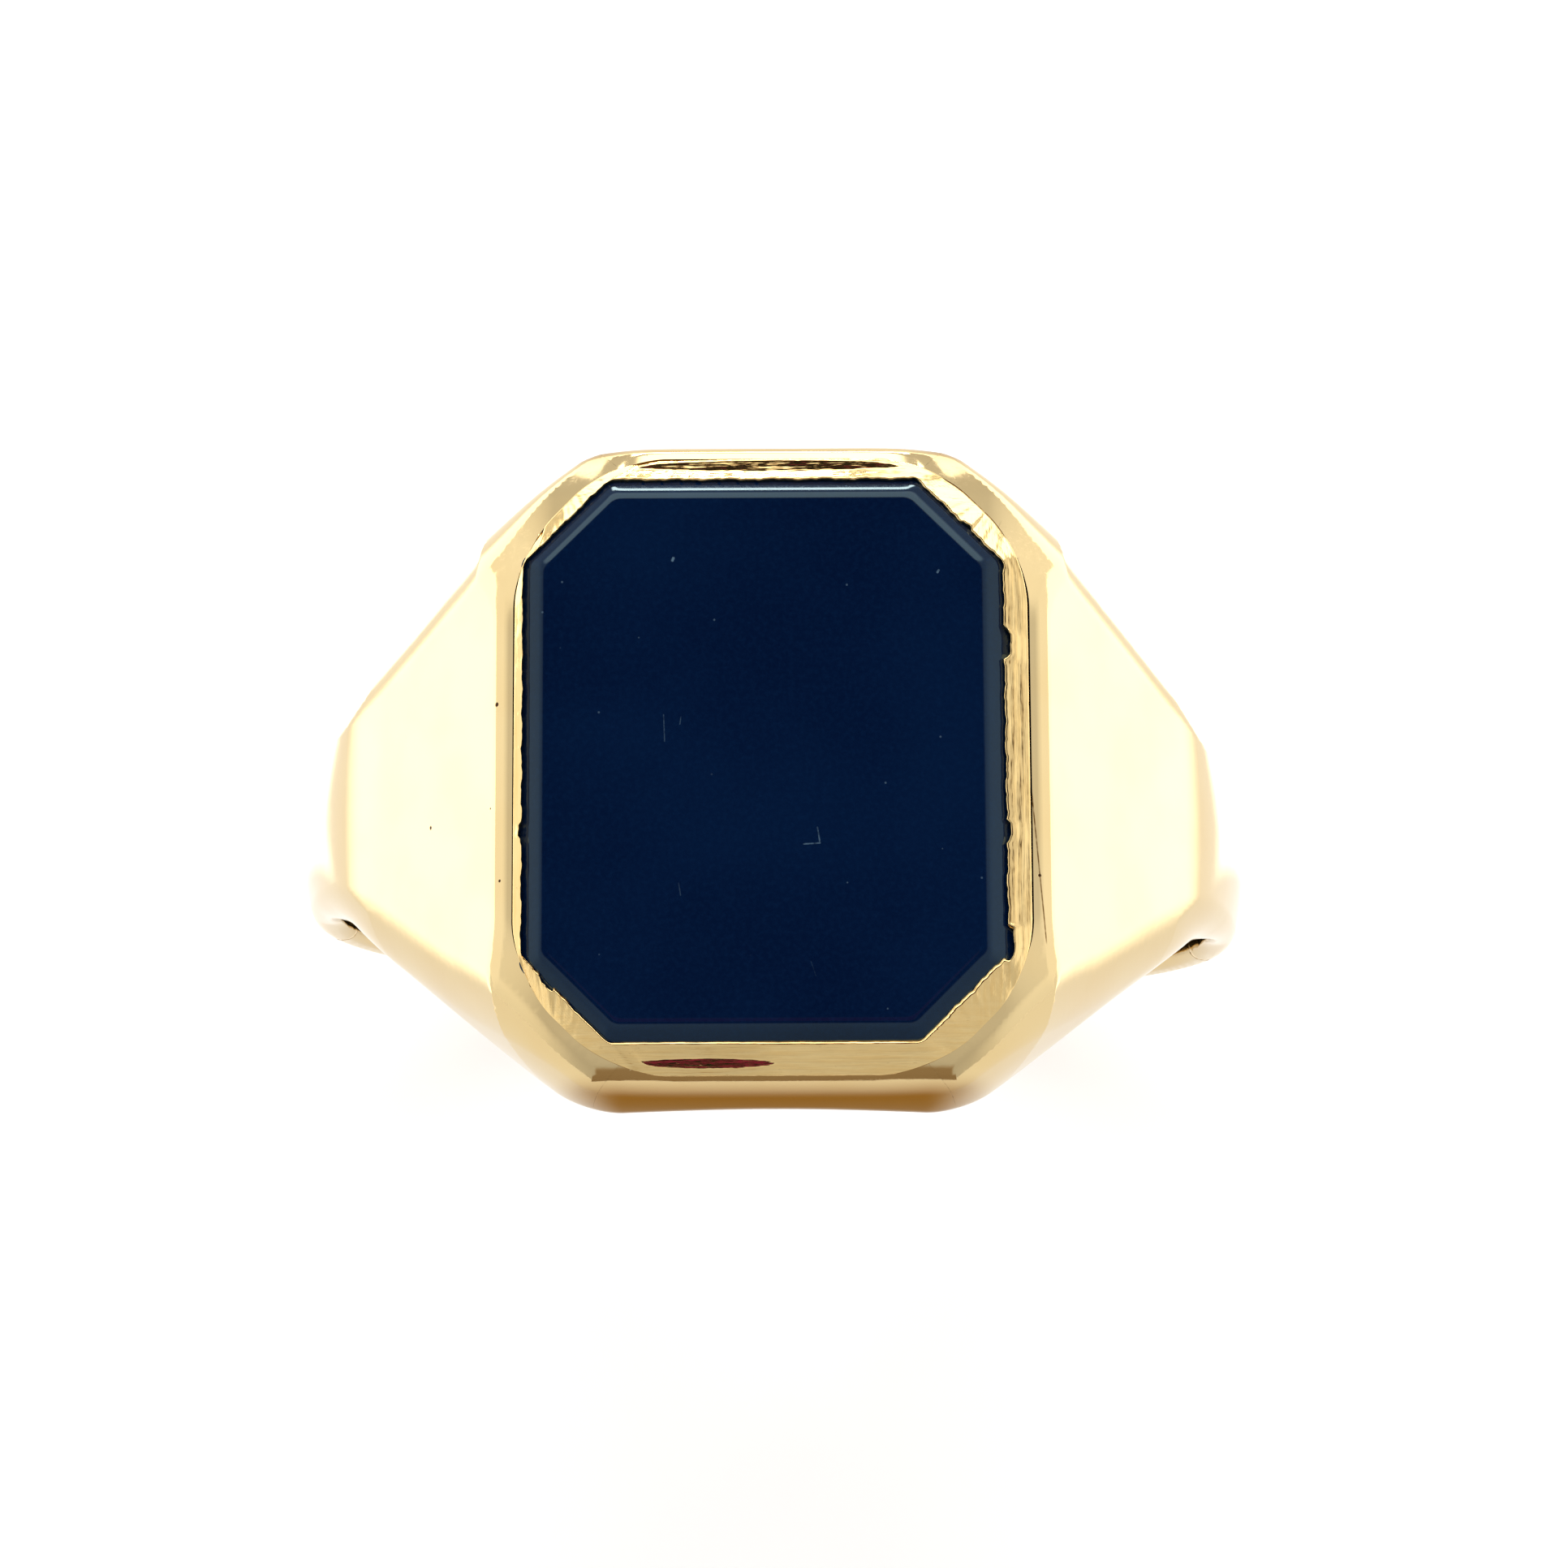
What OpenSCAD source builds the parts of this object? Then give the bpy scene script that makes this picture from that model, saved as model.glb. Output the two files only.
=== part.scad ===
// Stone-set signet ring with a cut-corner head. Millimetres, +Z up.
// The origin is the centre of the finger hole and the finger lies along Y.
// The stone faces +Z. Left is -X, right is +X, near is -Y and far is +Y.

/* [Finger hole] */
// Inside diameter of the ring
inner_diameter = 19.6; // [17:0.2:21]

/* [Stone] */
// Length of the stone along the finger
stone_length = 11.9; // [11:0.1:12.1]
// Width of the stone across the finger
stone_width = 9.95; // [9:0.05:10.1]
// Leg of each corner cut, at 45 degrees
stone_corner = 1.75; // [1:0.05:2.2]
// Thickness of the stone
stone_thickness = 2.2; // [1.8:0.1:2.3]
// Width of the bevel round the table
bevel_width = 0.56; // [0.3:0.02:0.8]
// Height of the bevel round the table
bevel_height = 0.42; // [0.2:0.02:0.6]
// How far the stone sits to the right of the middle of the head
stone_shift = -0.12; // [-0.16:0.02:0.16]

/* [Bezel] */
// Length of the bezel along the finger
bezel_length = 12.7; // [12.5:0.05:12.8]
// Width of the bezel across the finger
bezel_width = 10.6; // [10.5:0.05:11]
// Leg of each corner cut on the bezel
bezel_corner = 2.0; // [1.6:0.05:2.4]
// How far the rubbed lip reaches over the edge of the stone
lip_cover = 0.12; // [0.06:0.02:0.3]
// Width and height of the burnished slope outside the lip
lip_slope = 0.2; // [0.1:0.02:0.3]

/* [Back of the stone] */
// Thickness of the curved plate between the bezel and the finger
plate_thickness = 0.5; // [0.3:0.05:0.6]
// Length of the window behind the stone
window_length = 9.2; // [7:0.1:10]
// Width of the window behind the stone
window_width = 7.2; // [5:0.1:8]

/* [Head] */
// Height of the stone's table above the finger hole
head_rise = 3.1; // [3:0.05:3.4]
// Length of the head along the finger
head_length = 13.84; // [13.7:0.02:14.4]
// Half width of the straight wall at each end of the head
end_half_width = 3.84; // [3.5:0.02:4.2]
// How far each end wall leans in between its bulge and the rim
wall_lean = 0.42; // [0.2:0.02:0.44]
// Depth of the bulge of the end wall below the table
bulge_depth = 2.4; // [1.8:0.1:2.8]

/* [Shoulders] */
// Slope of the flat on each shoulder, from level
flat_slope = 57; // [56:1:60]
// Thickness of the metal under the middle of each flat
flat_thickness = 1.7; // [1.5:0.05:1.75]
// Angle in plan by which each shoulder's edge narrows, from the X axis
taper_angle = 37.8; // [36:0.2:39]
// How far the shoulders' edges lean in towards the finger hole beside the shank
undercut = 0.5; // [0.4:0.02:0.7]
// Depth of the bevel along the edges of the flats
edge_cut = 0.3; // [0.1:0.02:0.4]

/* [Shank] */
// Thickness of the shank where it meets the shoulders
shank_thickness = 0.9; // [0.8:0.05:1.1]
// Width of the shank where it meets the shoulders
shank_width = 3.56; // [3.3:0.02:4.4]
// Width of the shank at the back of the finger
back_width = 3.2; // [2.6:0.1:3.3]
// How far the crown of the shank stands above its edges
crown = 0.25; // [0.1:0.05:0.3]
// Angle of the joint between shank and shoulder below level
joint_angle = 10; // [6:1:20]
// Thickness of the solder in each joint
solder = 0.12; // [0.08:0.02:0.2]

/* [Hidden] */
$fn = 96;

bore_r = inner_diameter / 2;
side_r = bore_r + shank_thickness;
table_z = bore_r + head_rise;
rim_z = table_z - 0.1;              // top of the bezel
body_z = rim_z - 0.15;              // top of the shoulders and cheeks
end_y = head_length / 2;
shank_y = shank_width / 2;
fit_gap = 0.02;                     // between the stone and the metal round it
reach = 60;                         // longer than the ring, for cutting shapes

// Each flat is a plane, given by its direction and its distance from the finger axis.
flat_normal = [sin(flat_slope), 0, cos(flat_slope)];
flat_distance = bore_r + flat_thickness;
// The side of the ring is an arc that leaves the shank's circle at its widest point and ends
// where it meets the flat.
side_arc_r = 1.49 * side_r;
flat_reach = flat_distance + (side_arc_r - side_r) * flat_normal.x;
half_chord = sqrt(max(0, side_arc_r * side_arc_r - flat_reach * flat_reach));
flat_low_z = flat_reach * flat_normal.z - half_chord * flat_normal.x;
// Narrowing walls of the shoulders, and the bevel between them and the flats. The bevel is
// set out from the point where flat, wall and top meet.
wall_normal = [sin(taper_angle), cos(taper_angle), 0];
edge_normal = (flat_normal + wall_normal) / norm(flat_normal + wall_normal);
edge_x = (flat_distance - body_z * flat_normal.z) / flat_normal.x;
edge_y = end_y - (edge_x - end_half_width) * tan(taper_angle);
edge_distance = edge_normal * [edge_x, edge_y, body_z] - edge_cut;
// Bevel along the outer edges of the shoulders' sides, down to the shank.
side_normal = [cos(8) * cos(25), sin(25), sin(8) * cos(25)];
side_distance = side_normal * [side_r - crown, shank_y, 0];
// End wall above its bulge.
bulge_z = table_z - bulge_depth;
lean_normal = [0, body_z - bulge_z, wall_lean] / norm([body_z - bulge_z, wall_lean]);
lean_distance = lean_normal * [0, end_y, bulge_z];
// Shank: its crown, the straight part of its inside and the rounding of its inner edges.
crown_r = (shank_y * shank_y + crown * crown) / (2 * crown);
inside_half = 0.8 * shank_y;
inner_edge_r = 0.8;

// Everything further than a distance along a direction.
module beyond(direction, distance) {
    rotate([0, acos(direction.z), atan2(direction.y, direction.x)])
        translate([-reach / 2, -reach / 2, distance])
            cube(reach);
}

// The children and their mirror images left to right and near to far.
module in_four_quarters() {
    for (across = [0, 1], along = [0, 1])
        mirror([across, 0, 0])
            mirror([0, along, 0])
                children();
}

// Cut-corner outline with its length along Y.
module cut_corner(width, length, corner) {
    x = width / 2;
    y = length / 2;
    polygon([[x, corner - y], [x, y - corner], [x - corner, y], [corner - x, y],
        [-x, y - corner], [-x, corner - y], [corner - x, -y], [x - corner, -y]]);
}

// Cut-corner block whose upper edges carry a bevel of one width all round.
module bevelled_block(width, length, corner, low, high, bevel_w, bevel_h) {
    corner_half = (width / 2 + length / 2 - corner) / sqrt(2);
    facings = [[0, width / 2], [90, length / 2], [45, corner_half], [-45, corner_half]];
    intersection_for (facing = facings) {
        half = facing[1];
        rotate([0, 0, facing[0]])
            rotate([90, 0, 0])
                linear_extrude(reach, center = true)
                    polygon([[-half, low], [half, low], [half, high - bevel_h],
                        [half - bevel_w, high], [bevel_w - half, high], [-half, high - bevel_h]]);
    }
}

// The finger's space, or a thicker cylinder round it.
module finger(r = bore_r) {
    rotate([90, 0, 0])
        cylinder(r = r, h = reach, center = true);
}

// Column of space that the bezel and all inside it stand in.
module bezel_column() {
    linear_extrude(reach)
        cut_corner(bezel_width, bezel_length, bezel_corner);
}

module window_column() {
    linear_extrude(reach)
        cut_corner(window_width, window_length, 1.3);
}

// Right half of the front view, without the hole: flat top, sloping flat and rounded side.
// What lies left of the middle is cut away by its mirror image.
module half_front() {
    intersection() {
        union() {
            circle(side_r, $fn = 240);
            intersection() {
                translate([side_r - side_arc_r, 0])
                    circle(side_arc_r, $fn = 240);
                square(reach);
            }
            translate([-reach, -reach])
                square([reach, 2 * reach]);
            translate([-reach, flat_low_z])
                square([2 * reach, reach]);
        }
        rotate(90 - flat_slope)
            translate([flat_distance - 2 * reach, -reach])
                square([2 * reach, 2 * reach]);
        translate([-reach, -reach])
            square([2 * reach, reach + body_z]);
    }
}

// Top view: straight ends, edges that narrow towards the sides, then the shank's width.
module plan_outline() {
    narrow_x = end_half_width + (end_y - shank_y) / tan(taper_angle);
    quarter = [[end_half_width, end_y], [narrow_x, shank_y], [reach / 2, shank_y]];
    polygon([for (p = quarter) p,
        for (i = [2:-1:0]) [quarter[i].x, -quarter[i].y],
        for (p = quarter) [-p.x, -p.y],
        for (i = [2:-1:0]) [-quarter[i].x, quarter[i].y]]);
}

// Half length of the ring's wall at the edge of the finger hole, at one height above its centre.
function hole_edge(z) = let (x = sqrt(max(0, bore_r * bore_r - z * z)))
    max(shank_y, end_y - (x - end_half_width) * tan(taper_angle)
        - undercut * (x / bore_r) * (x / bore_r));

// Side view of the shoulders, which lean in towards the edge of the finger hole.
module side_outline() {
    heights = [0:0.95:9.5];
    polygon([[-shank_y, -reach], for (z = heights) [-hole_edge(z), z], [-end_y, reach],
        [end_y, reach], for (z = heights) [hole_edge(9.5 - z), 9.5 - z], [shank_y, -reach]]);
}

// Head and shoulders as one shape, down to the joints with the shank.
module upper_body() {
    difference() {
        intersection() {
            rotate([90, 0, 0])
                linear_extrude(reach, center = true)
                    intersection() {
                        half_front();
                        mirror([1, 0])
                            half_front();
                    }
            linear_extrude(reach, center = true)
                plan_outline();
            rotate([90, 0, 90])
                linear_extrude(reach, center = true)
                    side_outline();
        }
        in_four_quarters() {
            beyond(edge_normal, edge_distance);
            beyond(side_normal, side_distance);
            beyond(lean_normal, lean_distance);
        }
        bezel_column();
        finger();
        translate([-reach / 2, -reach / 2, -reach])
            cube([reach, reach, reach - side_r * sin(joint_angle + 5)]);
    }
}

// Plan area of the far cheek, mitred into the shoulders at the corners of the bezel.
module cheek_column() {
    inner = [bezel_width / 2 - bezel_corner, bezel_length / 2];
    outer = 2 * [end_half_width, end_y] - inner;
    linear_extrude(reach)
        polygon([inner, outer, [-outer.x, outer.y], [-inner.x, inner.y]]);
}

// Direction along the ring at the right joint, pointing down into the shank.
function joint_direction() = [-sin(joint_angle), 0, -cos(joint_angle)];

module stone() {
    color("midnightblue")
        translate([stone_shift, 0, 0])
            bevelled_block(stone_width, stone_length, stone_corner,
                table_z - stone_thickness, table_z, bevel_width, bevel_height);
}

module bezel() {
    color("gold")
        difference() {
            bevelled_block(bezel_width, bezel_length, bezel_corner, 0, rim_z, lip_slope, lip_slope);
            translate([stone_shift, 0, 0]) {
                bevelled_block(stone_width + 2 * fit_gap, stone_length + 2 * fit_gap,
                    stone_corner, -1, table_z + fit_gap, bevel_width, bevel_height);
                linear_extrude(reach)
                    cut_corner(stone_width - 2 * lip_cover, stone_length - 2 * lip_cover,
                        stone_corner);
            }
            finger(bore_r + plate_thickness);
        }
}

module bearing_strip() {
    color("goldenrod")
        difference() {
            translate([stone_shift, 0, 0])
                linear_extrude(table_z - stone_thickness)
                    cut_corner(stone_width + 2 * fit_gap, stone_length + 2 * fit_gap, stone_corner);
            window_column();
            finger(bore_r + plate_thickness);
        }
}

module base_plate() {
    color("darkgoldenrod")
        difference() {
            intersection() {
                bezel_column();
                finger(bore_r + plate_thickness);
            }
            window_column();
            finger();
        }
}

module cheek() {
    color("gold")
        intersection() {
            upper_body();
            cheek_column();
        }
}

module far_cheek() {
    cheek();
}

module near_cheek() {
    mirror([0, 1, 0])
        cheek();
}

module right_shoulder() {
    color("gold")
        difference() {
            upper_body();
            for (along = [0, 1])
                mirror([0, along, 0])
                    cheek_column();
            beyond([-1, 0, 0], 0);
            beyond(joint_direction(), -solder / 2);
        }
}

module left_shoulder() {
    mirror([1, 0, 0])
        right_shoulder();
}

// Section of the shank with the finger axis along its Y: crowned outside, rounded edges inside.
module shank_section() {
    intersection() {
        union() {
            translate([bore_r, -inside_half])
                square([2, 2 * inside_half]);
            for (side = [-1, 1])
                translate([bore_r + inner_edge_r, side * inside_half])
                    circle(inner_edge_r);
        }
        translate([side_r - crown_r, 0])
            circle(crown_r, $fn = 240);
        translate([bore_r, -shank_y])
            square([2, shank_width]);
    }
}

// Whole hoop of the shank's section, narrowing towards the back of the finger.
module hoop() {
    back_y = back_width / 2;
    joint_z = -side_r * sin(joint_angle);
    intersection() {
        rotate([90, 0, 0])
            rotate_extrude($fn = 240)
                shank_section();
        rotate([90, 0, 90])
            linear_extrude(reach, center = true)
                polygon([[-shank_y, side_r], [-shank_y, joint_z], [-back_y, -side_r],
                    [back_y, -side_r], [shank_y, joint_z], [shank_y, side_r]]);
    }
}

module shank() {
    color("gold")
        difference() {
            hoop();
            for (across = [0, 1])
                mirror([across, 0, 0])
                    beyond(-joint_direction(), -solder / 2);
        }
}

module right_solder_joint() {
    color("palegoldenrod")
        difference() {
            hoop();
            beyond(joint_direction(), solder / 2);
            beyond(-joint_direction(), solder / 2);
            beyond([-1, 0, 0], 0);
        }
}

module left_solder_joint() {
    mirror([1, 0, 0])
        right_solder_joint();
}

stone();
bezel();
bearing_strip();
base_plate();
near_cheek();
far_cheek();
left_shoulder();
right_shoulder();
shank();
left_solder_joint();
right_solder_joint();
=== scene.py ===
# Stone-set signet ring: looks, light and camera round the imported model.
# Sizes below are in millimetres and become metres where a mesh is made.
import math

import bpy
import numpy as np
from mathutils import Matrix, Vector


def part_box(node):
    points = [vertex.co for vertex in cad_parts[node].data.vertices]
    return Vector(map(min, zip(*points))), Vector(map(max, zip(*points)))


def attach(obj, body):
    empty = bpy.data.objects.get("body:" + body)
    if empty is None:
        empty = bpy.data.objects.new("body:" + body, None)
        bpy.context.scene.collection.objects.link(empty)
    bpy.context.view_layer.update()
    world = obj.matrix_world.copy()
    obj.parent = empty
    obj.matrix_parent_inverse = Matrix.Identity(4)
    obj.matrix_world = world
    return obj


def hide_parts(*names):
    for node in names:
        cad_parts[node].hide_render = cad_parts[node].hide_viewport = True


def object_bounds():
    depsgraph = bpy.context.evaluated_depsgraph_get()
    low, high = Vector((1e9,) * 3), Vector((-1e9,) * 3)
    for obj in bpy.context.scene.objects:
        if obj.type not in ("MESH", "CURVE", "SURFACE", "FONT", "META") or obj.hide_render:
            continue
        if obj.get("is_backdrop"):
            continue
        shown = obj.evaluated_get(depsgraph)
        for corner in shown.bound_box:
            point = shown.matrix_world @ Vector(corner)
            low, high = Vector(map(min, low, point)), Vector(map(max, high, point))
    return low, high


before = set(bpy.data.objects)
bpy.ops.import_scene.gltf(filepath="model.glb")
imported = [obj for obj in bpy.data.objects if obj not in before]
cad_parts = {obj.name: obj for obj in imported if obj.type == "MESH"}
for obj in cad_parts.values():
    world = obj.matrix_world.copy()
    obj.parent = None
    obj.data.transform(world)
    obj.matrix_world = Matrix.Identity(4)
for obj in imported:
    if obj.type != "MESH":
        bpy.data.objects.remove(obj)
CAD_LOW, CAD_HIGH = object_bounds()
MM = 0.001


def box_mm(node):
    low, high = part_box(node)
    return np.array(low) / MM, np.array(high) / MM


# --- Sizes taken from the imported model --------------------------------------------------
SIDE_R = CAD_HIGH.x / MM
END_Y = CAD_HIGH.y / MM
TABLE_Z = CAD_HIGH.z / MM
TOP_Z = box_mm("left_shoulder")[1][2]
SHANK_HALF = box_mm("shank")[1][1]
STONE_LOW, STONE_HIGH = box_mm("stone")
STONE_X = (STONE_LOW[0] + STONE_HIGH[0]) / 2
STONE_HALF = ((STONE_HIGH[0] - STONE_LOW[0]) / 2, STONE_HIGH[1])
BEZEL_HIGH = box_mm("bezel")[1]

# --- Sizes repeated from the part's source ----------------------------------------------
def direction(degrees):
    """Sideways and upward part of a unit vector tilted from the vertical."""
    return math.sin(math.radians(degrees)), math.cos(math.radians(degrees))


BORE_R = 9.8  # finger hole
FLAT_N = direction(57)  # the flats on the shoulders
FLAT_D = BORE_R + 1.7
TAPER_N = direction(37.8)  # plan view of the walls beside the head
END_HALF = 3.84  # half width of the end walls
ARC_R = 1.49 * SIDE_R  # the bulging sides, seen from the end of the head
ARC_X = SIDE_R - ARC_R
PLATE_R = BORE_R + 0.5
JOINT = math.radians(10)  # how far the shank's joints lie below the ring's middle
SOLDER = 0.12
BEZEL_CORNER = 2.0
STONE_CORNER = 1.75
WINDOW = (3.6, 4.6, 1.3)  # opening under the stone: half sizes and cut corner

# --- Shape of the gold, judged from the photograph --------------------------------------
SEAT_X, SEAT_Y = 5.24, 6.36  # half sizes of the bezel's outline
SEAT_MID = -0.01
SEAT_ROUND = 0.8
SWAY = 0.0285  # sideways lean of the band: shift in y for each mm of x
TOP_SINK, NEAR_SINK = 0.03, 0.07  # top of the gold below the rim, and the extra at the near end
TOP_FALL, CORNER_FALL = 0.32, 0.33  # fall away from the bezel, and the extra at the far corners
TOP_STEEPNESS = 1.05
CROWN = 0.25  # how far the outside drops from its middle to its edges
SKIN_EDGE = 0.12  # rounding between top, flats and sides
WALL_ROUND = 0.5
FAR_LEAN, NEAR_LEAN, LEAN_DEPTH = 0.34, 0.42, 2.15
SHANK_TOP = 1.86  # the shank's joints below the ring's middle
SHANK_NARROWS = 0.18
HOLE_EDGE = 0.2
SEAT_OVERLAP, SEAT_GAP = 0.012, 0.034  # gold over the bezel, and the open crease beside it
SOLDER_SINK = 0.004
SETTING_PLAY = 0.02  # stone to setting


# --- Distance fields --------------------------------------------------------------------
def both(a, b, r):
    """Intersection of two solids with the edge between them rounded."""
    return np.minimum(-r, np.maximum(a, b)) + np.hypot(np.maximum(a + r, 0), np.maximum(b + r, 0))


def either(a, b, r):
    """Union of two solids with the corner between them filled."""
    return -both(-a, -b, r)


def ramp(low, high, v):
    """Smooth step from 0 at low to 1 at high."""
    t = np.clip((v - low) / (high - low), 0, 1)
    return t * t * (3 - 2 * t)


def octagon(x, y, half_x, half_y, corner):
    """Signed distance to a rectangle with cut corners."""
    ax, ay = np.abs(x), np.abs(y)
    slant = (ax + ay - (half_x + half_y - corner)) * math.sqrt(0.5)
    return np.maximum(np.maximum(ax - half_x, ay - half_y), slant)


# Where the flats meet the bulging sides.
FLAT_REACH = FLAT_D - ARC_X * FLAT_N[0]
FLAT_LOW_Z = FLAT_REACH * FLAT_N[1] - math.sqrt(ARC_R**2 - FLAT_REACH**2) * FLAT_N[0]
FLAT_LOW_X = (FLAT_D - FLAT_N[1] * FLAT_LOW_Z) / FLAT_N[0]


def seat(x, y):
    """Signed distance to the outline of the bezel, whose corners are rounded."""
    ax, ay = np.abs(x - SEAT_MID), np.abs(y)
    slant = (ax + ay - (SEAT_X + SEAT_Y - BEZEL_CORNER)) * math.sqrt(0.5)
    return both(both(ax - SEAT_X, slant, SEAT_ROUND), ay - SEAT_Y, SEAT_ROUND)


def creased(y):
    """1 where the bezel shows as a separate rim, 0 at the near end where it is polished flush."""
    return ramp(-4.3, -3.5, y)


def near_end(y):
    """1 at the near end of the head, 0 further back."""
    return 1 - ramp(-5.8, -3.2, y)


def gold_skin(x, y, z, away, near):
    """Outside of the gold: the top, which falls away from the bezel, the flats and the round sides."""
    ax, ay = np.abs(x), np.abs(y)
    fall = TOP_FALL + CORNER_FALL * ramp(2.4, 3.8, ax) * ramp(2.8, 4.2, y)
    top = (z - TOP_Z + TOP_SINK + NEAR_SINK * near + fall * away) / TOP_STEEPNESS
    flat = FLAT_N[0] * ax + FLAT_N[1] * z - FLAT_D
    crown = CROWN * np.minimum(ay / SHANK_HALF, 1.3) ** 2
    arc = np.hypot(ax - ARC_X, np.clip(z, 0, FLAT_LOW_Z)) - ARC_R
    over = z - FLAT_LOW_Z
    tangent = ((FLAT_LOW_X - ARC_X) * (ax - FLAT_LOW_X) + FLAT_LOW_Z * over) / ARC_R
    arc = np.where(over > 0, tangent, arc)
    hoop = np.hypot(x, z) - SIDE_R + crown
    side = np.where(z > 0, arc + crown * (1 - ramp(2, 7.5, z)), hoop)
    return np.where(z > -1, both(both(top, flat, SKIN_EDGE), side, SKIN_EDGE), hoop)


def gold_walls(x, y, z, skin):
    """Walls on both sides of the band: wide and leaning at the head, narrow and straight at the shank."""
    ax, ay = np.abs(x), np.abs(y)
    half = SHANK_HALF - SHANK_NARROWS * np.clip((-z - SHANK_TOP) / (SIDE_R - SHANK_TOP), 0, 1)
    lean = np.where(y > 0, FAR_LEAN, NEAR_LEAN) * np.clip(1 + skin / LEAN_DEPTH, 0, 1) ** 2
    taper = TAPER_N[0] * (ax - END_HALF) + TAPER_N[1] * (ay - END_Y)
    wall = both(ay - END_Y, taper, WALL_ROUND) + lean * ramp(-1, 5, z)
    # Both walls draw in close to the finger hole.
    under = np.clip(1 - (np.hypot(x, z) - BORE_R) / 1.4, 0, 1) ** 2
    wall = wall + 0.5 * under
    strip = ay - half + 0.12 * under
    flare = ay - SHANK_HALF - 0.11 * np.maximum(z + 0.5, 0) ** 1.6 - 3 * ramp(4.5, 8, z)
    wall = both(wall, flare, 0.3)
    return np.where(z > -1.5, either(wall, strip, 0.01 + 0.7 * ramp(-0.5, 4, z)), strip)


def metal(x, y, z):
    """Shoulders, cheeks and shank as one piece of gold round the finger hole."""
    near = near_end(y)
    away = np.maximum(seat(x, y), -0.3)
    y = y + SWAY * x * (1 - ramp(2.0, 12.6, z))
    skin = gold_skin(x, y, z, away, near)
    wall = gold_walls(x, y, z, skin)
    # The outer edges are softest at the near end and on the shoulders.
    soft = 0.6 * ramp(4.0, 6.6, np.abs(x)) * ramp(-1, 7, z) + 0.14 * (1 - ramp(-1, 5, z))
    body = both(skin, wall, 0.12 + 0.28 * near + soft)
    flared = 0.1 * (1 - ramp(3, 8, z)) * np.minimum(np.abs(y) / SHANK_HALF, 1.3) ** 4
    return both(body, BORE_R + flared - np.hypot(x, z), HOLE_EDGE)


def head_metal(x, y, z):
    """The same gold with the bezel's seat cut out of it."""
    gap = creased(y) * (1 - ramp(4.2, 4.8, y)) * ramp(4.9, 5.1, np.abs(x))
    seat_cut = -seat(x, y) - SEAT_OVERLAP + SEAT_GAP * gap
    return np.maximum(metal(x, y, z), seat_cut)


def mitre(x, y):
    """Positive towards the shoulders, negative towards the cheek at each end of the head."""
    inner = (BEZEL_HIGH[0] - BEZEL_CORNER, BEZEL_HIGH[1])
    dx, dy = END_HALF - inner[0], END_Y - inner[1]
    length = math.hypot(dx, dy)
    return ((np.abs(x) - inner[0]) * dy - (np.abs(y) - inner[1]) * dx) / length


def joint_plane(x, z):
    """Distance along the ring from a shank joint, positive towards the back of the finger."""
    return -np.abs(x) * math.sin(JOINT) - z * math.cos(JOINT)


def shoulder(side):
    def field(x, y, z):
        f = head_metal(x, y, z)
        f = np.maximum(f, np.maximum(-mitre(x, y), joint_plane(x, z) + SOLDER / 2))
        return np.maximum(f, 1 - side * x)

    return field


def cheek(side):
    def field(x, y, z):
        f = head_metal(x, y, z)
        return np.maximum(f, np.maximum(mitre(x, y), 1 - side * y))

    return field


def shank(x, y, z):
    return np.maximum(metal(x, y, z), SOLDER / 2 - joint_plane(x, z))


def solder_joint(side):
    def field(x, y, z):
        f = metal(x, y, z) + SOLDER_SINK
        return np.maximum(np.maximum(f, np.abs(joint_plane(x, z)) - SOLDER / 2), 1 - side * x)

    return field


def base_plate(x, y, z):
    rho = np.hypot(x, z)
    column = octagon(x, y, BEZEL_HIGH[0], BEZEL_HIGH[1], BEZEL_CORNER)
    plate = both(np.maximum(column, rho - PLATE_R), BORE_R - rho, 0.02)
    return np.maximum(both(plate, -octagon(x, y, *WINDOW), 0.1), 1 - z)


def bearing_strip(x, y, z):
    rho = np.hypot(x, z)
    half_x, half_y = STONE_HALF[0] + SETTING_PLAY, STONE_HALF[1] + SETTING_PLAY
    column = octagon(x - STONE_X, y, half_x, half_y, STONE_CORNER)
    block = np.maximum(np.maximum(column, z - STONE_LOW[2]), PLATE_R - rho)
    return both(block, -octagon(x, y, *WINDOW), 0.08)


# --- Meshes -----------------------------------------------------------------------------
def slope_of(field, p, step):
    """Unit direction in which the field grows fastest, at each point."""
    g = np.empty_like(p)
    for i in range(3):
        d = np.zeros(3)
        d[i] = step
        a, b = p + d, p - d
        g[:, i] = field(a[:, 0], a[:, 1], a[:, 2]) - field(b[:, 0], b[:, 1], b[:, 2])
    return g / np.maximum(np.linalg.norm(g, axis=1, keepdims=True), 1e-12)


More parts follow.
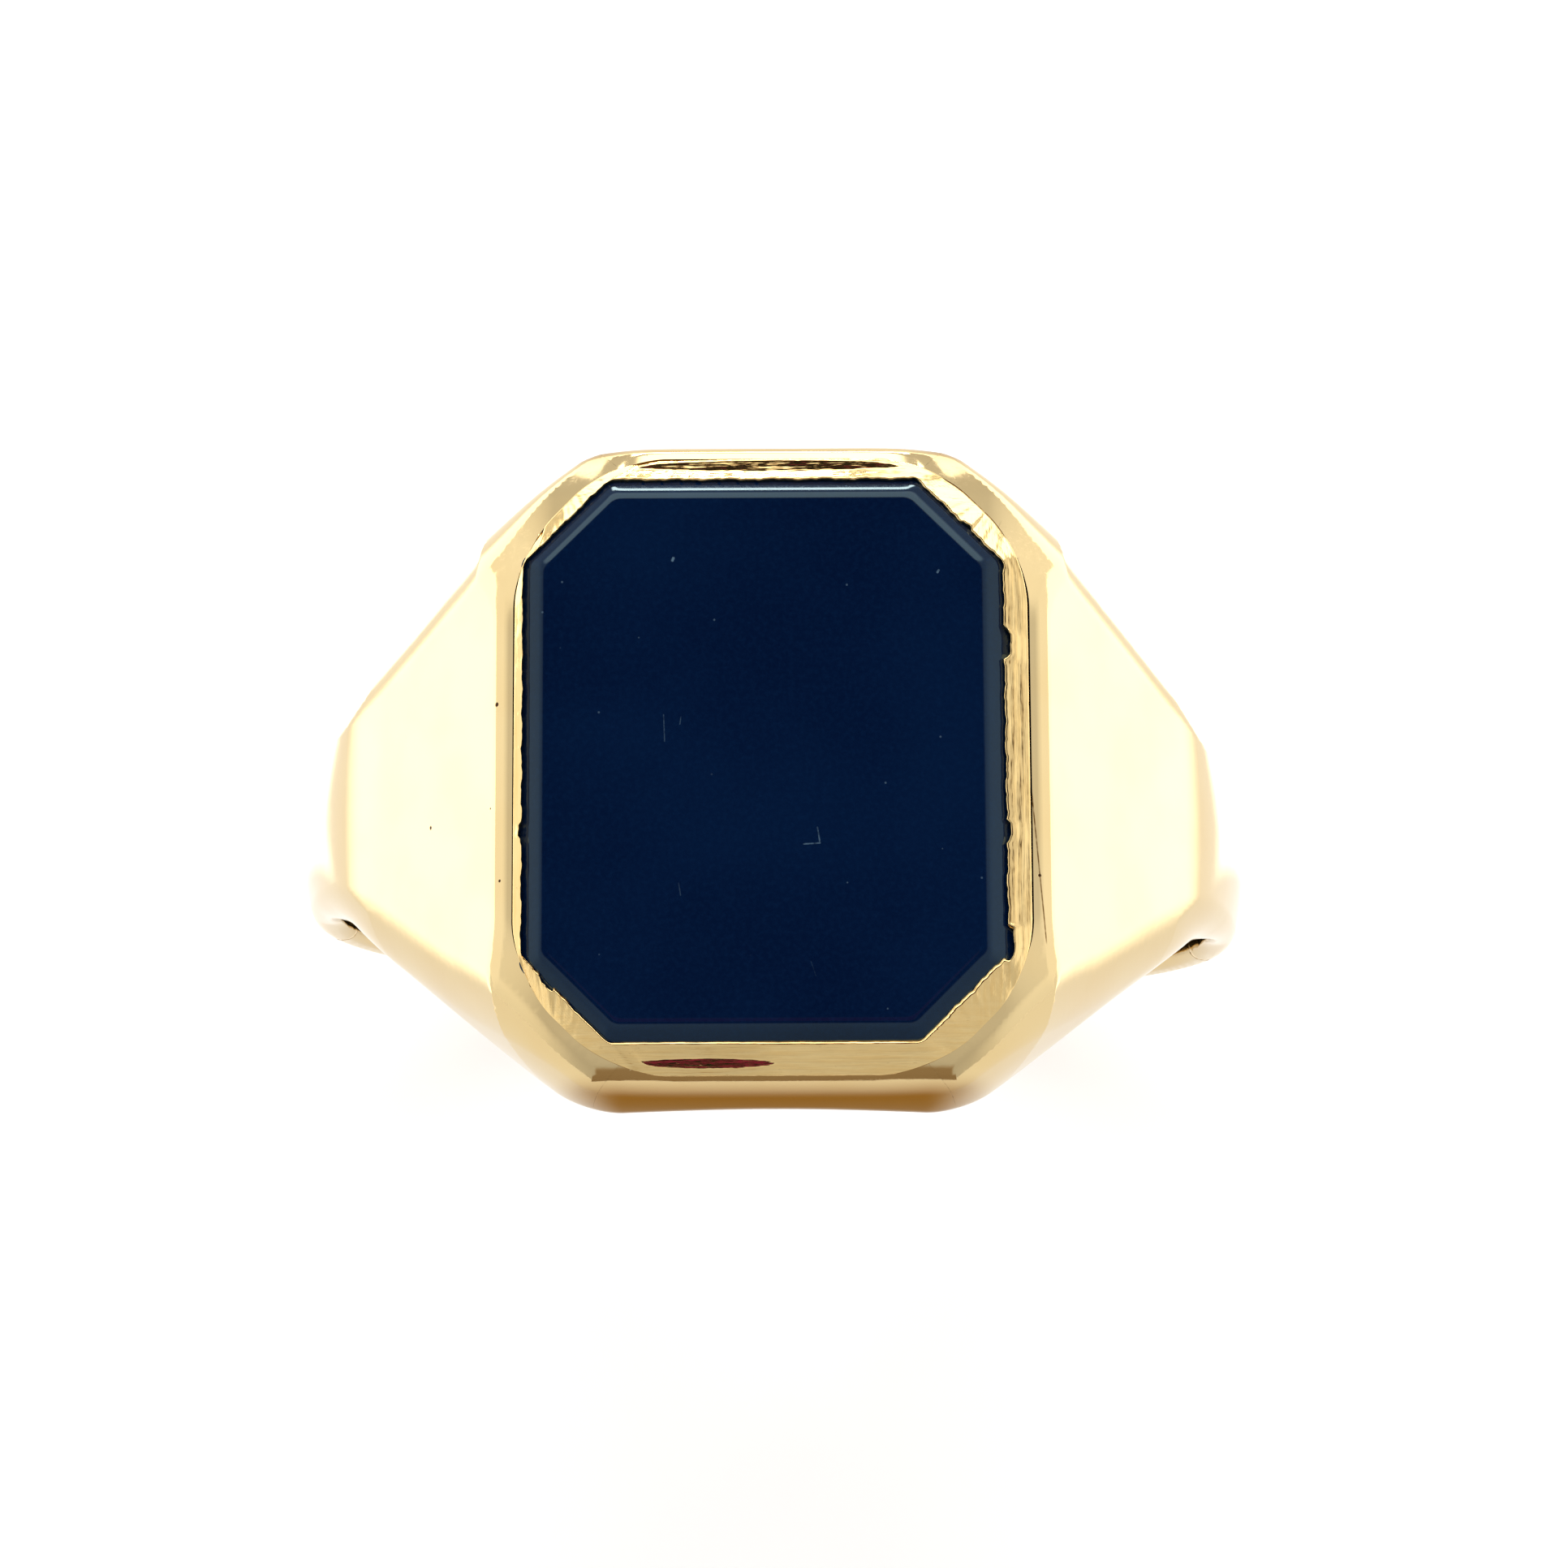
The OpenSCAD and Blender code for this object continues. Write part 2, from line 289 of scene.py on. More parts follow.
def contour(field, low, high, pitch):
    """Closed mesh of field = 0: one point for each cell the surface crosses, placed where the
    planes through that cell meet, so that edges stay crisp."""
    axes = [np.arange(low[i] - 1.37 * pitch, high[i] + 2 * pitch, pitch) for i in range(3)]
    shape = np.array([len(a) for a in axes])
    values = field(*np.meshgrid(*axes, indexing="ij"))
    inside = values < 0
    crossings = []
    for axis in range(3):
        head = [slice(None)] * 3
        tail = [slice(None)] * 3
        head[axis], tail[axis] = slice(0, -1), slice(1, None)
        at = np.argwhere(inside[tuple(head)] != inside[tuple(tail)])
        a = np.stack([axes[i][at[:, i]] for i in range(3)], 1)
        b = a.copy()
        b[:, axis] += pitch
        goes_out = inside[tuple(at.T)]
        lo, hi = np.zeros(len(at)), np.ones(len(at))
        for _ in range(14):
            mid = (lo + hi) / 2
            q = a + (b - a) * mid[:, None]
            within = field(q[:, 0], q[:, 1], q[:, 2]) < 0
            forward = within == goes_out
            lo, hi = np.where(forward, mid, lo), np.where(forward, hi, mid)
        q = a + (b - a) * ((lo + hi) / 2)[:, None]
        crossings.append((axis, at, goes_out, q, slope_of(field, q, pitch * 0.01)))
    quads, owner, points, normals = [], [], [], []
    for axis, at, goes_out, q, n in crossings:
        u, v = (axis + 1) % 3, (axis + 2) % 3
        corners = []
        for du, dv in ((0, 0), (1, 0), (1, 1), (0, 1)):
            c = at.copy()
            c[:, u] -= du
            c[:, v] -= dv
            corners.append(np.ravel_multi_index(tuple(c.T), shape))
        quad = np.stack(corners, 1)
        quad[~goes_out] = quad[~goes_out][:, ::-1]
        quads.append(quad)
        owner += corners
        points += [q] * 4
        normals += [n] * 4
    quads = np.concatenate(quads)
    owner, points, normals = np.concatenate(owner), np.concatenate(points), np.concatenate(normals)
    used, index = np.unique(owner, return_inverse=True)
    count = np.bincount(index)
    centre = np.stack([np.bincount(index, points[:, i]) for i in range(3)], 1) / count[:, None]
    off = np.einsum("ij,ij->i", normals, points - centre[index])
    ata = np.empty((len(used), 3, 3))
    atb = np.empty((len(used), 3))
    for i in range(3):
        atb[:, i] = np.bincount(index, normals[:, i] * off)
        for j in range(3):
            ata[:, i, j] = np.bincount(index, normals[:, i] * normals[:, j])
    ata += np.eye(3) * 0.04
    move = np.linalg.solve(ata, atb[:, :, None])[:, :, 0]
    move = np.clip(move, -pitch, pitch)
    faces = np.searchsorted(used, quads)
    return centre + move, faces


def add_mesh(name, points, faces):
    """New piece from points in millimetres, riding on the ring's one body."""
    mesh = bpy.data.meshes.new(name)
    mesh.from_pydata([tuple(p) for p in np.asarray(points) * MM], [], [tuple(f) for f in faces])
    mesh.validate()
    obj = bpy.data.objects.new(name, mesh)
    bpy.context.scene.collection.objects.link(obj)
    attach(obj, "root")
    return obj


def contoured(name, field, low, high, pitch, material, replaces):
    """Piece made from a distance field, shaded with the field's own directions."""
    points, faces = contour(field, low, high, pitch)
    obj = add_mesh(name, points, faces.tolist())
    # Directions are taken a little inside each face, so that creases stay sharp.
    middle = points[faces].mean(1)
    near = points[faces] + 0.22 * (middle[:, None] - points[faces])
    normals = slope_of(field, near.reshape(-1, 3), pitch * 0.02)
    obj.data.polygons.foreach_set("use_smooth", [True] * len(faces))
    obj.data.normals_split_custom_set([tuple(n) for n in normals])
    obj.data.materials.append(material)
    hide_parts(replaces)
    return obj


def outline(half_x, half_y, corner, radius, centre=(0, 0), per_side=40, per_corner=8):
    """Points round a cut-corner outline with rounded corners, from the right side onwards."""
    x, y = half_x, half_y
    c = corner
    verts = [(x, y - c), (x - c, y), (c - x, y), (-x, y - c)]
    verts += [(-x, c - y), (c - x, -y), (x - c, -y), (x, c - y)]
    verts = [np.array(v) for v in verts]
    out = []
    for i, v in enumerate(verts):
        before, after = verts[i - 1], verts[(i + 1) % 8]
        d0, d1 = (before - v) / np.linalg.norm(before - v), (after - v) / np.linalg.norm(after - v)
        cut = radius * math.tan(math.pi / 8)
        a, b = v + d0 * cut, v + d1 * cut
        bisector = (d0 + d1) / np.linalg.norm(d0 + d1)
        mid = v + bisector * (radius / math.cos(math.pi / 8))
        a0 = math.atan2(*(a - mid)[::-1])
        turn = (math.atan2(*(b - mid)[::-1]) - a0 + math.pi) % (2 * math.pi) - math.pi
        for k in range(per_corner):
            t = a0 + turn * k / (per_corner - 1)
            out.append(mid + radius * np.array([math.cos(t), math.sin(t)]))
        nxt = after + (v - after) / np.linalg.norm(v - after) * cut
        for k in range(1, per_side):
            out.append(b + (nxt - b) * k / per_side)
    return np.array(out) + np.array(centre)


def skin_loops(loops, closed_tube=False, cap_start=False, cap_end=False):
    """Quads between loops of equal length, as (points, faces)."""
    n = len(loops[0])
    points = np.concatenate(loops)
    faces = []
    m = len(loops)
    for j in range(m if closed_tube else m - 1):
        a, b = j * n, ((j + 1) % m) * n
        for i in range(n):
            k = (i + 1) % n
            faces.append((a + i, a + k, b + k, b + i))
    if cap_start:
        faces.append(tuple(range(n))[::-1])
    if cap_end:
        faces.append(tuple(range((m - 1) * n, m * n)))
    return points, faces


def level(path, z):
    """A flat path lifted to a height, or to one height for each point."""
    return np.column_stack([path, np.broadcast_to(z, len(path))])


# --- Material helpers ---------------------------------------------------------------------
class Nodes:
    """Short way of writing a node tree."""

    def __init__(self, tree):
        self.tree = tree
        tree.nodes.clear()

    def add(self, kind, **values):
        node = self.tree.nodes.new(kind)
        for key, value in values.items():
            if hasattr(node, key) and key not in node.inputs:
                setattr(node, key, value)
            else:
                self.feed(node.inputs[key], value)
        return node

    def feed(self, socket, value):
        if isinstance(value, bpy.types.NodeSocket):
            self.tree.links.new(value, socket)
        elif isinstance(value, bpy.types.Node):
            self.tree.links.new(value.outputs[0], socket)
        else:
            socket.default_value = value

    def math(self, operation, *values, clamp=False):
        node = self.tree.nodes.new("ShaderNodeMath")
        node.operation = operation
        node.use_clamp = clamp
        for socket, value in zip(node.inputs, values):
            self.feed(socket, value)
        return node.outputs[0]

    def vector(self, operation, *values):
        node = self.tree.nodes.new("ShaderNodeVectorMath")
        node.operation = operation
        for socket, value in zip(node.inputs, values):
            self.feed(socket, value)
        scalar = operation in ("DISTANCE", "LENGTH", "DOT_PRODUCT")
        return node.outputs["Value" if scalar else 0]

    def step(self, value, low, high, to_low=0.0, to_high=1.0):
        """Smooth step from to_low at low to to_high at high."""
        node = self.tree.nodes.new("ShaderNodeMapRange")
        node.interpolation_type = "SMOOTHSTEP"
        ends = {"From Min": low, "From Max": high, "To Min": to_low, "To Max": to_high}
        for key, v in {"Value": value, **ends}.items():
            self.feed(node.inputs[key], v)
        return node.outputs[0]

    def within(self, value, low, high):
        """1 while value lies closer to 0 than low, on either side, and 0 beyond high."""
        return self.step(self.math("ABSOLUTE", value), low, high, 1.0, 0.0)

    def product(self, first, *others):
        for value in others:
            first = self.math("MULTIPLY", first, value)
        return first

    def hypot(self, a, b):
        return self.math("SQRT", self.math("ADD", self.math("MULTIPLY", a, a), self.math("MULTIPLY", b, b)))

    def ellipse(self, x, y, middle_y, half_x, half_y):
        """Distance from the middle of an ellipse, which is 1 on its edge."""
        u = self.math("DIVIDE", x, half_x)
        v = self.math("DIVIDE", self.math("SUBTRACT", y, middle_y), half_y)
        return self.hypot(u, v)

    def noise(self, vector, scale, detail, roughness):
        return self.add("ShaderNodeTexNoise", Vector=vector, Scale=scale, Detail=detail, Roughness=roughness)

    def mapped(self, vector, scale, rotation=(0, 0, 0)):
        return self.add("ShaderNodeMapping", Vector=vector, Scale=scale, Rotation=rotation)

    def place_mm(self):
        """Place on the piece in millimetres."""
        mm = self.vector("SCALE", self.add("ShaderNodeTexCoord").outputs["Object"])
        mm.node.inputs["Scale"].default_value = 1 / MM
        return mm

    def split(self, vector):
        return self.add("ShaderNodeSeparateXYZ", Vector=vector).outputs

    def mix(self, factor, a, b):
        node = self.tree.nodes.new("ShaderNodeMix")
        node.data_type = "RGBA"
        self.feed(node.inputs[0], factor)
        self.feed(node.inputs[6], a)
        self.feed(node.inputs[7], b)
        return node.outputs[2]


def material(name):
    mat = bpy.data.materials.new(name)
    mat.use_nodes = True
    return mat, Nodes(mat.node_tree)


def shaded(colour, factors):
    """The colour with its red, green and blue each made weaker."""
    return tuple(c * k for c, k in zip(colour[:3], factors)) + (1,)


def wear_lines(n, mm):
    """Fine wear scratches in two directions, 1 on a scratch."""
    first = n.noise(n.mapped(mm, (0.9, 22.0, 9.0), (0.35, 0.2, 0.9)), 1.3, 3.0, 0.7)
    second = n.noise(n.mapped(mm, (16.0, 0.7, 11.0), (0.9, -0.4, -0.5)), 1.1, 3.0, 0.7)
    return n.math("MAXIMUM", n.step(first, 0.60, 0.72), n.step(second, 0.62, 0.74))


def shade_under_bulge(n, mm):
    """1 on the two end walls, under their bulge, where shade is painted into the gold."""
    x, y, z = n.split(mm)
    low = n.product(n.step(z, 11.7, 12.65, 1.0, 0.0), n.within(x, 3.0, 4.8))
    return n.product(low, n.step(n.math("ABSOLUTE", y), 6.2, 6.6))


def crease_shade(n, mm, fine):
    """1 in the fine crease between the right flat and the top, where shade is painted."""
    x, y, _ = n.split(mm)
    crease_x = n.math("ADD", 5.19, n.math("MULTIPLY", y, -0.085))
    line = n.within(n.math("SUBTRACT", x, crease_x), 0.006, 0.022)
    ends = n.product(n.step(y, -3.75, -3.6), n.step(y, -0.5, 1.0, 1.0, 0.0))
    return n.product(line, ends, n.step(fine, 0.3, 0.6, 0.45, 1.0))


def pit_spots(n, mm, fine, pits):
    """1 in the pits, each on the gold's surface above or below its place in plan."""
    spots = []
    for x, y, radius in pits:
        z = TOP_Z
        for _ in range(40):
            z -= float(metal(x, y, z))
        wobble = n.math("MULTIPLY", n.math("SUBTRACT", fine, 0.5), radius * 0.8)
        distance = n.math("ADD", n.vector("DISTANCE", mm, (x, y, z)), wobble)
        spots.append(n.step(distance, radius * 0.55, radius, 1.0, 0.0))
    pit = spots[0]
    for spot in spots[1:]:
        pit = n.math("MAXIMUM", pit, spot)
    return pit


def gold(name, colour, rough, scratch=1.0, grain=0.0, pits=()):
    """Polished gold alloy with fine wear scratches and soft waviness. Gold with pits is the outside of the
    ring, which also has painted shade low on its end walls and in a fine crease."""
    mat, n = material(name)
    mm = n.place_mm()
    waves = n.noise(mm, 0.55, 2.0, 0.45)
    fine = n.noise(mm, 6.0, 5.0, 0.62)
    scratches = wear_lines(n, mm)
    tint = n.mix(n.step(waves, 0.35, 0.7), colour, shaded(colour, (0.985, 0.965, 0.93)))
    roughness = n.step(fine, 0.35, 0.75, rough * 0.75, rough * 1.35)
    roughness = n.math("ADD", roughness, n.product(scratches, 0.05 * scratch))
    height = n.math("ADD", n.product(waves, 0.9), n.product(fine, 0.05 + grain))
    height = n.math("SUBTRACT", height, n.product(scratches, 0.02 * scratch))
    shader = n.add("ShaderNodeBsdfPrincipled", Metallic=1.0)
    if pits:
        # Painted shade low on the end walls, in the colour and in the edge tint of the reflection.
        low = shade_under_bulge(n, mm)
        tint = n.mix(low, tint, WALL_PAINTED_SHADE)
        n.feed(shader.inputs["Specular Tint"], n.mix(low, (1, 1, 1, 1), WALL_SHADE_EDGE_TINT))
        # Painted shade in the fine crease between the right flat and the top.
        tint = n.mix(crease_shade(n, mm, fine), tint, CREASE_SHADE)
        pit = pit_spots(n, mm, fine, pits)
        tint = n.mix(pit, tint, PIT_DIRT)
        roughness = n.math("ADD", roughness, n.product(pit, 0.4))
        height = n.math("SUBTRACT", height, n.product(pit, 0.6))
    bump = n.add("ShaderNodeBump", Strength=0.35, Distance=0.00002, Height=height)
    n.feed(shader.inputs["Roughness"], roughness)
    n.feed(shader.inputs["Normal"], bump)
    n.feed(shader.inputs["Base Color"], tint)
    n.add("ShaderNodeOutputMaterial", Surface=shader)
    return mat


def burnished(name, colour, rough):
    """Gold pushed over the stone by hand: streaks along the lip, small facets and grime."""
    mat, n = material(name)
    mm = n.place_mm()
    at_ends = n.step(n.math("ABSOLUTE", n.split(mm)[1]), 4.6, 5.6)
    streak_y = n.noise(n.mapped(mm, (14.0, 0.8, 6.0)), 1.0, 3.0, 0.6)
    streak_x = n.noise(n.mapped(mm, (0.8, 14.0, 6.0)), 1.0, 3.0, 0.6)
    on_sides = n.product(streak_y, n.math("SUBTRACT", 1.0, at_ends))
    streak = n.math("ADD", on_sides, n.product(streak_x, at_ends))
    facets = n.noise(mm, 2.3, 2.0, 0.5)
    grime = n.step(n.noise(mm, 4.5, 6.0, 0.7), 0.62, 0.72)
    tint = n.mix(n.step(streak, 0.3, 0.75), colour, shaded(colour, (0.96, 0.9, 0.8)))
    tint = n.mix(n.product(grime, 0.25), tint, LIP_GRIME)
    height = n.math("ADD", n.product(streak, 0.5), n.product(facets, 1.2))
    bump = n.add("ShaderNodeBump", Strength=0.5, Distance=0.00003, Height=height)
    shader = n.add("ShaderNodeBsdfPrincipled", Metallic=1.0, Normal=bump)
    n.feed(shader.inputs["Roughness"], n.step(streak, 0.3, 0.8, rough * 0.7, rough * 1.6))
    n.feed(shader.inputs["Base Color"], tint)
    n.add("ShaderNodeOutputMaterial", Surface=shader)
    return mat


# Marks on the stone's table: both ends, half width and strength of each hairline or speck.
MARKS = (
    (-2.02, 4.15, -2.0, 4.2, 0.035, 0.6),
    (3.38, 3.88, 3.40, 3.92, 0.03, 0.5),
    (-2.2, 0.95, -2.18, 0.4, 0.014, 0.2),
    (-1.85, 0.9, -1.87, 0.75, 0.014, 0.18),
    (0.62, -1.72, 0.95, -1.70, 0.018, 0.45),
    (0.95, -1.70, 0.90, -1.38, 0.018, 0.4),
    (-1.9, -2.5, -1.86, -2.75, 0.014, 0.15),
    (0.75, -4.1, 0.85, -4.4, 0.012, 0.07),
)


def hairline(n, mm, start, end, half_width):
    """1 on the line between two places on the stone's table, seen from above."""
    run_x, run_y = end[0] - start[0], end[1] - start[1]
    offset = n.vector("SUBTRACT", mm, (*start, 0))
    along = n.vector("DOT_PRODUCT", offset, (run_x, run_y, 0))
    along = n.math("DIVIDE", along, run_x * run_x + run_y * run_y, clamp=True)
    x, y, _ = n.split(offset)
    gap_x = n.math("SUBTRACT", x, n.product(along, run_x))
    gap_y = n.math("SUBTRACT", y, n.product(along, run_y))
    return n.step(n.hypot(gap_x, gap_y), half_width * 0.5, half_width, 1.0, 0.0)


def hardstone(name):
    """Polished navy-black hardstone with specks of dust and hairline scratches."""
    mat, n = material(name)
    mm = n.place_mm()
    cloud = n.noise(mm, 0.18, 3.0, 0.5)
    grain = n.noise(mm, 9.0, 4.0, 0.7)
    colour = n.mix(n.step(cloud, 0.35, 0.7), (0.0005, 0.0045, 0.023, 1), (0.0010, 0.0072, 0.031, 1))
    colour = n.mix(n.step(grain, 0.35, 0.8, 0.0, 0.35), colour, (0.002, 0.014, 0.05, 1))
    dust = n.add("ShaderNodeTexVoronoi", Vector=mm, Scale=2.6)
    chosen = n.add("ShaderNodeSeparateColor", Color=dust.outputs["Color"]).outputs[0]
    dots = n.step(dust.outputs["Distance"], 0.035, 0.075, 1.0, 0.0)
    dots = n.product(dots, n.step(chosen, 0.78, 0.84))
    colour = n.mix(n.product(dots, 0.35), colour, DUST)
    for x0, y0, x1, y1, half_width, strength in MARKS:
        mark = hairline(n, mm, (x0, y0), (x1, y1), half_width)
        mark = n.product(mark, n.step(grain, 0.35, 0.6, 0.25, 1.0))
        colour = n.mix(n.product(mark, strength), colour, BARE_SCRATCH)
    shader = n.add("ShaderNodeBsdfPrincipled", IOR=1.52)
    shader.inputs["Specular Tint"].default_value = (0.68, 1.0, 1.0, 1)
    shader.inputs["Specular IOR Level"].default_value = 0.3
    n.feed(shader.inputs["Roughness"], n.step(grain, 0.3, 0.8, 0.05, 0.1))
    n.feed(shader.inputs["Base Color"], colour)
    n.add("ShaderNodeOutputMaterial", Surface=shader)
    return mat


GOLD = (0.68, 0.523, 0.268, 1)
# Painted shade: darker gold and edge tint low on the end walls, where they turn under towards the shadowed
# floor.
WALL_PAINTED_SHADE, WALL_SHADE_EDGE_TINT = (0.25, 0.108, 0.026, 1), (0.72, 0.6, 0.45, 1)
INNER_GOLD = (0.80, 0.55, 0.26, 1)
SOLDER_GOLD = (0.86, 0.68, 0.42, 1)
BEZEL_GOLD = (0.80, 0.59, 0.27, 1)
# Painted shade for the fine crease between the right flat and the top.
CREASE_SHADE = (0.16, 0.08, 0.02, 1)
PIT_DIRT = (0.05, 0.022, 0.008, 1)
LIP_GRIME = (0.30, 0.16, 0.06, 1)
DUST = (0.10, 0.16, 0.22, 1)
BARE_SCRATCH = (0.12, 0.2, 0.27, 1)
# Pits in the left flat, beside it and on the right: place seen from above, and radius.
PITS = (
    (-5.60, 1.26, 0.06),
    (-7.1, -0.88, 0.06),
    (-5.52, -2.38, 0.04),
    (-5.73, -0.86, 0.03),
    (5.38, -2.33, 0.045),
)
ring_gold = gold("ring gold", GOLD, 0.08, pits=PITS)
inner_gold = gold("inner gold", INNER_GOLD, 0.24, scratch=2.0, grain=0.1)
solder = gold("solder", SOLDER_GOLD, 0.18, grain=0.15)
bezel_gold = burnished("bezel gold", BEZEL_GOLD, 0.09)
stone_look = hardstone("navy hardstone")

# --- Metal body ---------------------------------------------------------------------------
PITCH = 0.13
FINE_PITCH, SEAM_PITCH = PITCH * 0.7, 0.05


def flipped(low, high, axis, side):
    """Box given for the positive side, or its mirror image for the negative side."""
    low, high = list(low), list(high)
    if side < 0:
        low[axis], high[axis] = -high[axis], -low[axis]
    return low, high


# Each mesh is made in a box a little larger than its piece.
for name, side in (("right_shoulder", 1), ("left_shoulder", -1)):
    low, high = flipped((3.0, -END_Y, -2.0), (SIDE_R, END_Y, TOP_Z), 0, side)
    contoured(name + "_gold", shoulder(side), low, high, PITCH, ring_gold, name)
for name, side in (("far_cheek", 1), ("near_cheek", -1)):
    low, high = flipped((-4.1, 5.2, 8.6), (4.1, END_Y, TOP_Z), 1, side)
    contoured(name + "_gold", cheek(side), low, high, FINE_PITCH, ring_gold, name)
low, high = (-SIDE_R, -2.5, -SIDE_R), (SIDE_R, 2.5, -1.6)
contoured("shank_gold", shank, low, high, PITCH, ring_gold, "shank")
for name, side in (("right_solder_joint", 1), ("left_solder_joint", -1)):
    low, high = flipped((9.5, -2.6, -2.1), (10.8, 2.6, -1.5), 0, side)
    contoured(name + "_seam", solder_joint(side), low, high, SEAM_PITCH, solder, name)
low, high = (-5.3, -6.4, 8.0), (5.3, 6.4, 10.4)
contoured("base_plate_gold", base_plate, low, high, PITCH, inner_gold, "base_plate")
low, high = (-5.2, -6.1, 8.8), (5.0, 6.1, 10.8)
contoured("bearing_strip_gold", bearing_strip, low, high, PITCH, inner_gold, "bearing_strip")

# --- Stone ----------------------------------------------------------------------------------
STONE_EDGE = 0.35  # rounding of its corners in plan
TABLE_EDGE = 0.3
BEVEL = 0.66  # width of the bevel round the table
BEVEL_TILT = 37


def stone_loop(inset, z, radius=STONE_EDGE):
    """Outline of the stone at one height. The table sits a little off the middle."""
    shift = 0.1 * min(inset, 0.6)
    half_x, half_y = STONE_HALF[0] - inset, STONE_HALF[1] - inset
    middle = (STONE_X - 0.02 - shift, 0.02 + shift)
    return level(outline(half_x, half_y, STONE_CORNER - 0.586 * inset, radius, middle), z)


def make_stone():
    below = ((0.5, 0), (0.06, 0), (0.02, 0.02), (0.0, 0.06))
    loops = [stone_loop(inset, STONE_LOW[2] + up) for inset, up in below]
    # Bevel: slightly convex, then a soft edge into the flat table.
    insets = np.concatenate([np.linspace(0, 0.3, 9), np.linspace(0.32, BEVEL, 22)])
    tilt = (BEVEL_TILT - 20 * insets) * (1 - ramp(0.34, BEVEL, insets))
    slope = np.tan(np.radians((tilt[1:] + tilt[:-1]) / 2))
    rise = np.concatenate([[0], np.cumsum(np.diff(insets) * slope)])
    girdle = TABLE_Z - rise[-1]
    loops.append(stone_loop(0.0, girdle - 0.05))
    loops += [stone_loop(inset, girdle + up) for inset, up in zip(insets, rise)]
    loops += [stone_loop(inset, TABLE_Z, TABLE_EDGE) for inset in (0.7, 0.8, 1.3)]
    points, faces = skin_loops(loops, cap_start=True, cap_end=True)
    obj = add_mesh("stone_polished", points, faces)
    obj.data.polygons.foreach_set("use_smooth", [True] * len(faces))
    obj.data.set_sharp_from_angle(angle=math.radians(20))
    obj.data.materials.append(stone_look)
    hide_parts("stone")
    return obj


make_stone()

# --- Bezel ----------------------------------------------------------------------------------
OPENING_HALF = (4.888, 5.785)
OPENING_MID = (-0.178, 0.085)
OPENING_EDGE, SEAT_EDGE = 0.22, 1.4  # rounding of the corners inside and outside


def to_seat(path):
    """Moves a path onto the outline of the bezel."""
    for _ in range(8):
        x, y = path.T
        f = seat(x, y)
        gx = (seat(x + 1e-4, y) - seat(x - 1e-4, y)) / 2e-4
        gy = (seat(x, y + 1e-4) - seat(x, y - 1e-4)) / 2e-4
        path = path - (f / (gx**2 + gy**2))[:, None] * np.column_stack([gx, gy])
    return path


# Nicks in the lip: place, half length along the lip, and how far the lip stops short.
NICKS = (
    (4.71, 2.45, 0.33, 0.13),
    (4.70, -1.45, 0.22, 0.09),
    (4.72, -3.70, 0.35, 0.12),
    (-5.07, -1.38, 0.16, 0.06),
    (-4.55, -4.45, 0.22, 0.09),
    (4.05, 4.95, 0.2, 0.05),
    (-3.7, 5.1, 0.18, 0.05),
)
# Waves of the ragged lip: length along the lip and height of each.
RAGGED = ((0.9, 0.012), (0.37, 0.008), (0.19, 0.005))
LIP_STEPS = 240  # steps across the lip on which its slope is added up


